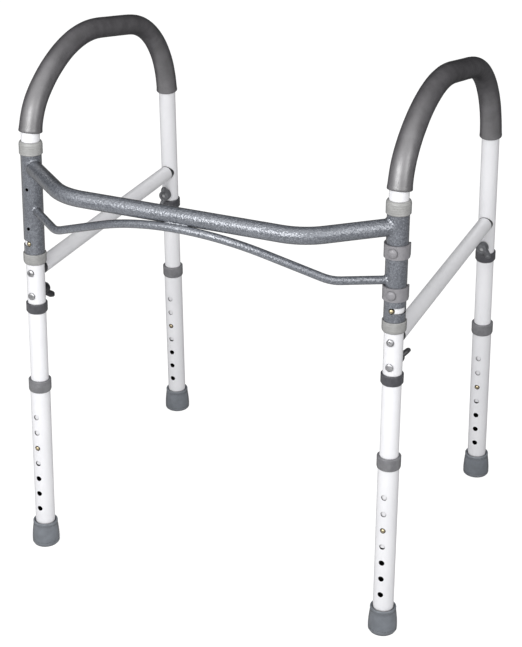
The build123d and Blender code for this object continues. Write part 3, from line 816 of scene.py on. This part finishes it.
def crown_weld(index, way, bar, rod, material):
    """A short fillet where the rod's crown touches the crossbar, on one side of the line of touch."""
    between = (rod - bar).normalized()
    aside = RIGHT.cross(between) * way
    rings = []
    for i in range(CROWN_WELD_STEPS + 1):
        share = 2 * i / CROWN_WELD_STEPS - 1
        taper = math.sqrt(max(0.0, 1 - share**6))
        x = share * CROWN_WELD_HALF
        ripple = math.sin(2 * math.pi * x / WELD_PITCH)
        uneven = WELD_UNEVEN * noise.noise(Vector((x, index, 0)) / CROWN_WELD_UNEVEN_LENGTH)
        reach = CROWN_WELD_REACH * (CROWN_WELD_TIP + (1 - CROWN_WELD_TIP) * taper)
        reach *= 1 + CROWN_WELD_RIPPLE * ripple + uneven
        bar_turn = reach / CROSSBAR_R
        rod_turn = reach / ROD_R
        bar_out = between * math.cos(bar_turn) + aside * math.sin(bar_turn)
        rod_out = between * -math.cos(rod_turn) + aside * math.sin(rod_turn)
        toe_on_bar = bar + bar_out * (CROSSBAR_R - CROWN_WELD_SINK)
        toe_on_rod = rod + rod_out * (ROD_R - CROWN_WELD_SINK)
        pull = (toe_on_bar + toe_on_rod) / 2 + aside * CROWN_WELD_CROWNING
        root = bar + between * (CROSSBAR_R - CROWN_WELD_ROOT)
        ring = pulled(toe_on_bar, pull, toe_on_rod, WELD_ARC_STEPS) + [root]
        if i in (0, CROWN_WELD_STEPS):
            centre = sum(ring, Vector((0, 0, 0))) / len(ring)
            ring = [centre.lerp(point, CROWN_WELD_END) for point in ring]
        rings.append([point + RIGHT * x for point in ring])
    new_weld("rod_crown_weld_%d" % (index + 1), rings, material, closed=False)


def welds(material):
    bar_low, bar_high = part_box("crossbar_tube")
    rod_low, rod_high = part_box("arch_rod")
    bar = Vector((0, bar_low.y + CROSSBAR_R, (bar_low.z + bar_high.z) / 2))
    rod = Vector((0, rod_low.y + ROD_R, rod_high.z - ROD_R))
    for side, way in zip(SIDES, (-1, 1)):
        bar_line = centre_line("crossbar_tube", bar, RIGHT * way, UP, TUBE_STEP, 3 * CROSSBAR_R)
        end_weld(side + "_crossbar_weld", bar_line, CROSSBAR_R, side, BAR_WELD_LEG, material)
        rod_line = centre_line("arch_rod", rod, RIGHT * way, UP, TUBE_STEP, 3 * ROD_R)
        end_weld(side + "_rod_weld", rod_line, ROD_R, side, ROD_WELD_LEG, material)
    for index, way in enumerate((1, -1)):
        crown_weld(index, way, bar, rod, material)


# ======================================================================
# Feet
# ======================================================================
def foot_outline():
    """The foot's half section, from the sole up the outside and down the bore."""
    outline = []
    for inner, outer in FOOT_GROOVES:
        outline += [(inner, FOOT_SPARE_Z), (inner, FOOT_TREAD_Z)]
        outline += [(outer, FOOT_TREAD_Z), (outer, FOOT_SPARE_Z)]
    corner = (FOOT_BASE_R - FOOT_BASE_CORNER, FOOT_BASE_Z + FOOT_BASE_CORNER)
    outline.append((corner[0], FOOT_SPARE_Z))
    outline += arc(corner, FOOT_BASE_CORNER, -90, 0)
    outline += arc(FOOT_WAIST, FOOT_WAIST_R, -90, -270)
    outline += pulled(*(Vector(point) for point in FOOT_BODY), FOOT_BODY_STEPS)
    outline += arc(FOOT_NECK, FOOT_NECK_R, -90, -270)
    outline += arc(FOOT_RIM, FOOT_RIM_R, -20, 150)
    outline += [(FOOT_BORE_R, z) for z in FOOT_BORE_Z]
    return outline


def foot(leg, material):
    """Moulded tip with a rolled rim, a waist line, a base band and treads, trimmed level with the floor."""
    mesh = lathe(foot_outline())
    up = Vector(joints[leg + "_height"]["axis"]).normalized()
    place = axes_at(Vector(mounts[leg + "_foot_sole"]["pos_m"]), up, RIGHT)
    mesh.transform(place @ Matrix.Scale(MM, 4))
    tip = new_object("untrimmed_tip", mesh)
    below = new_object("below_floor", lathe([(TRIM_R, -TRIM_DEPTH), (TRIM_R, 0.0)], TRIM_SIDES))
    below.location = (place.translation.x, place.translation.y, 0)
    trim = tip.modifiers.new("trim", "BOOLEAN")
    trim.operation = "DIFFERENCE"
    trim.object = below
    mesh = settled(tip)
    bpy.data.objects.remove(below)
    mesh.shade_smooth()
    mesh.set_sharp_from_angle(angle=math.radians(FOOT_CORNER))
    piece = new_piece(leg + "_rubber_foot", mesh, material, leg + "_lower_leg")
    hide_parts(leg + "_foot")


# ======================================================================
# Wing knobs
# ======================================================================
def hub_outline():
    """The knob hub's half section, from its bore outwards and up."""
    outline = [(KNOB_BORE_R, 0.0)]
    outline += arc((KNOB_HUB_R - KNOB_FOOT_CORNER, KNOB_FOOT_CORNER), KNOB_FOOT_CORNER, -90, 0)
    outline += arc((KNOB_NECK_R - KNOB_TOP_CORNER, KNOB_HEIGHT - KNOB_TOP_CORNER), KNOB_TOP_CORNER, 0, 90)
    outline.append((KNOB_BORE_R, KNOB_HEIGHT))
    return outline


def wing_hull(way):
    """One wing: the smooth hull round a few balls."""
    shape = bmesh.new()
    for along, above, radius in KNOB_WING:
        centre = Matrix.Translation((way * along, 0, above))
        bmesh.ops.create_icosphere(shape, subdivisions=3, radius=radius, matrix=centre)
    hull = bmesh.ops.convex_hull(shape, input=shape.verts)
    left_over = hull["geom_interior"] + hull["geom_unused"]
    inner = [item for item in left_over if isinstance(item, bmesh.types.BMVert)]
    bmesh.ops.delete(shape, geom=inner, context="VERTS")
    mesh = bpy.data.meshes.new("wing")
    shape.to_mesh(mesh)
    shape.free()
    return mesh


def knob_mesh():
    """A moulded knob, in mm: a bored hub with two blended wings."""
    shape = bmesh.new()
    for mesh in (lathe(hub_outline(), KNOB_SIDES, closed=True), wing_hull(1), wing_hull(-1)):
        shape.from_mesh(mesh)
    mesh = bpy.data.meshes.new("knob")
    shape.to_mesh(mesh)
    shape.free()
    thing = new_object("rough_knob", mesh)
    remesh = thing.modifiers.new("remesh", "REMESH")
    remesh.mode = "VOXEL"
    remesh.voxel_size = KNOB_VOXEL
    soften = thing.modifiers.new("soften", "SMOOTH")
    soften.iterations = KNOB_SOFTENING
    mesh = settled(thing)
    mesh.shade_smooth()
    return mesh


def wing_knob(leg, shared, material):
    """The shared knob on one leg's clamp bolt, turned as the CAD knob is."""
    node = leg + "_wing_knob"
    joint = joints[leg + "_knob_turn"]
    at = Vector(joint["pos_m"])
    axis = Vector(joint["axis"]).normalized()
    first, second = across(axis, UP)
    offsets = [v.co - at for v in nodes[node].data.vertices]
    base = min(offset.dot(axis) for offset in offsets)
    pairs = [(offset.dot(first), offset.dot(second)) for offset in offsets]
    # the wings lie along the direction in which the CAD knob is longest
    turn = 0.5 * math.atan2(2 * sum(a * b for a, b in pairs), sum(a * a - b * b for a, b in pairs))
    wings = first * math.cos(turn) + second * math.sin(turn)
    mesh = shared.copy()
    mesh.transform(axes_at(at + axis * base, axis, wings) @ Matrix.Scale(MM, 4))
    piece = new_piece(leg + "_clamp_knob", mesh, material, node)
    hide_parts(node)


# ======================================================================
# CAD nodes: finish and smooth shading
# ======================================================================
def smooth_by_angle():
    """A modifier tree that welds doubled points and shades smooth except at real corners."""
    tree = bpy.data.node_groups.new("weld_and_smooth", "GeometryNodeTree")
    tree.interface.new_socket("Geometry", in_out="INPUT", socket_type="NodeSocketGeometry")
    tree.interface.new_socket("Geometry", in_out="OUTPUT", socket_type="NodeSocketGeometry")
    g = Graph(tree)
    forget = g.add("GeometryNodeRemoveAttribute")
    g.put(forget.inputs["Geometry"], g.add("NodeGroupInput").outputs[0])
    g.put(forget.inputs["Name"], "custom_normal")
    weld = g.add("GeometryNodeMergeByDistance")
    g.put(weld.inputs["Geometry"], forget.outputs["Geometry"])
    g.put(weld.inputs["Distance"], SEAM)
    faces = g.add("GeometryNodeSetShadeSmooth", domain="FACE")
    g.put(faces.inputs["Geometry"], weld.outputs["Geometry"])
    steep = g.add("FunctionNodeCompare", operation="GREATER_THAN")
    g.put(steep.inputs["A"], g.add("GeometryNodeInputMeshEdgeAngle").outputs["Unsigned Angle"])
    g.put(steep.inputs["B"], math.radians(CORNER))
    edges = g.add("GeometryNodeSetShadeSmooth", domain="EDGE")
    g.put(edges.inputs["Geometry"], faces.outputs["Geometry"])
    g.put(edges.inputs["Selection"], steep.outputs["Result"])
    g.put(edges.inputs["Shade Smooth"], False)
    g.put(g.add("NodeGroupOutput").inputs[0], edges.outputs["Geometry"])
    return tree


def darken_inside(node, material):
    """Gives a tube's inner faces and its holes' walls, which all face another wall, this material: the unpainted
    inside, and painted shade on the holes' walls.
    """
    mesh = nodes[node].data
    tree = surface_tree(node)
    mesh.materials.append(material)
    for face in mesh.polygons:
        start = face.center + face.normal * LIFT
        hit, _, _, distance = tree.ray_cast(start, face.normal, WIDEST_BORE)
        if hit is not None and distance > NARROWEST_HOLE:
            face.material_index = 1


def finish_cad_nodes(materials):
    tree = smooth_by_angle()
    for part in record["subparts"]:
        node = part["node"]
        piece = nodes[node]
        on_clips = node == "clip_rivets" or node.endswith("_clip")
        piece.data.materials.clear()
        piece.data.materials.append(materials["clip_plastic" if on_clips else part["material_slot"]])
        modifier = piece.modifiers.new("weld_and_smooth", "NODES")
        modifier.node_group = tree
        if node.endswith(("_leg", "_handrail_tube", "_side_brace", "_hinge_sleeve")):
            darken_inside(node, materials["inside_and_hole_shade"])


# ======================================================================
# Stage
# ======================================================================
def area_light(name, direction, distance, size, power):
    """A rectangular light aimed at the object's middle."""
    light = bpy.data.lights.new(name, "AREA")
    light.shape = "RECTANGLE"
    light.size, light.size_y = size
    light.energy = power
    lamp = new_object(name, light)
    lamp.location = (cad_low + cad_high) / 2 + toward(*direction) * distance
    lamp.rotation_mode = "QUATERNION"
    lamp.rotation_quaternion = (-toward(*direction)).to_track_quat("-Z", "Y")


def make_world():
    """White to the camera and even light. Shiny surfaces see a studio bright in front and dark behind."""
    world = bpy.data.worlds.new("studio")
    world.use_nodes = True
    g = Graph(world.node_tree)
    background = g.tree.nodes["Background"]
    nearness = g.dot(g.add("ShaderNodeTexCoord").outputs["Generated"], toward(*GLOSS_FROM))
    studio = g.span(nearness, *GLOSS_FADE, GLOSS_DARK, GLOSS_BRIGHT)
    path = g.add("ShaderNodeLightPath")
    lit = g.mix_value(path.outputs["Is Glossy Ray"], AMBIENT, studio)
    g.put(background.inputs["Strength"], g.mix_value(path.outputs["Is Camera Ray"], lit, 1.0))
    g.put(background.inputs["Color"], (1.0, 1.0, 1.0))
    bpy.context.scene.world = world


def make_floor():
    mesh = bpy.data.meshes.new("floor")
    corners = [(x * FLOOR_HALF, y * FLOOR_HALF, 0) for x, y in ((-1, -1), (1, -1), (1, 1), (-1, 1))]
    mesh.from_pydata(corners, [], [(0, 1, 2, 3)])
    mesh.materials.append(pale_floor())
    floor = new_object("floor", mesh)
    floor.location.z = -FLOOR_DROP


def make_camera():
    data = bpy.data.cameras.new("camera")
    data.lens = CAMERA_LENS
    camera = new_object("camera", data)
    back = toward(*CAMERA_FROM)
    roll = Matrix.Rotation(math.radians(CAMERA_ROLL), 4, "Z")
    camera.matrix_world = axes_at(CAMERA_AT, back, UP.cross(back).normalized()) @ roll
    bpy.context.scene.camera = camera


# ======================================================================
# The whole scene
# ======================================================================
materials = make_materials()
finish_cad_nodes(materials)
for side in SIDES:
    foam_grip(side, materials["foam"])
welds(materials["hammered_grey_paint"])
plain_knob = knob_mesh()
for leg in LEGS:
    foot(leg, materials["foot_rubber"])
    # the front knobs, facing the key, get the lighter black as painted light; the rear knobs in shade get the
    # plain black
    wing_knob(leg, plain_knob, materials["painted_lit_black_plastic" if leg.endswith("front") else "black_plastic"])
make_floor()
area_light("key", KEY_FROM, KEY_DISTANCE, KEY_SIZE, KEY_POWER)
area_light("right_strip", STRIP_FROM, STRIP_DISTANCE, STRIP_SIZE, STRIP_POWER)
make_world()
make_camera()
bpy.context.scene.view_settings.view_transform = "Standard"
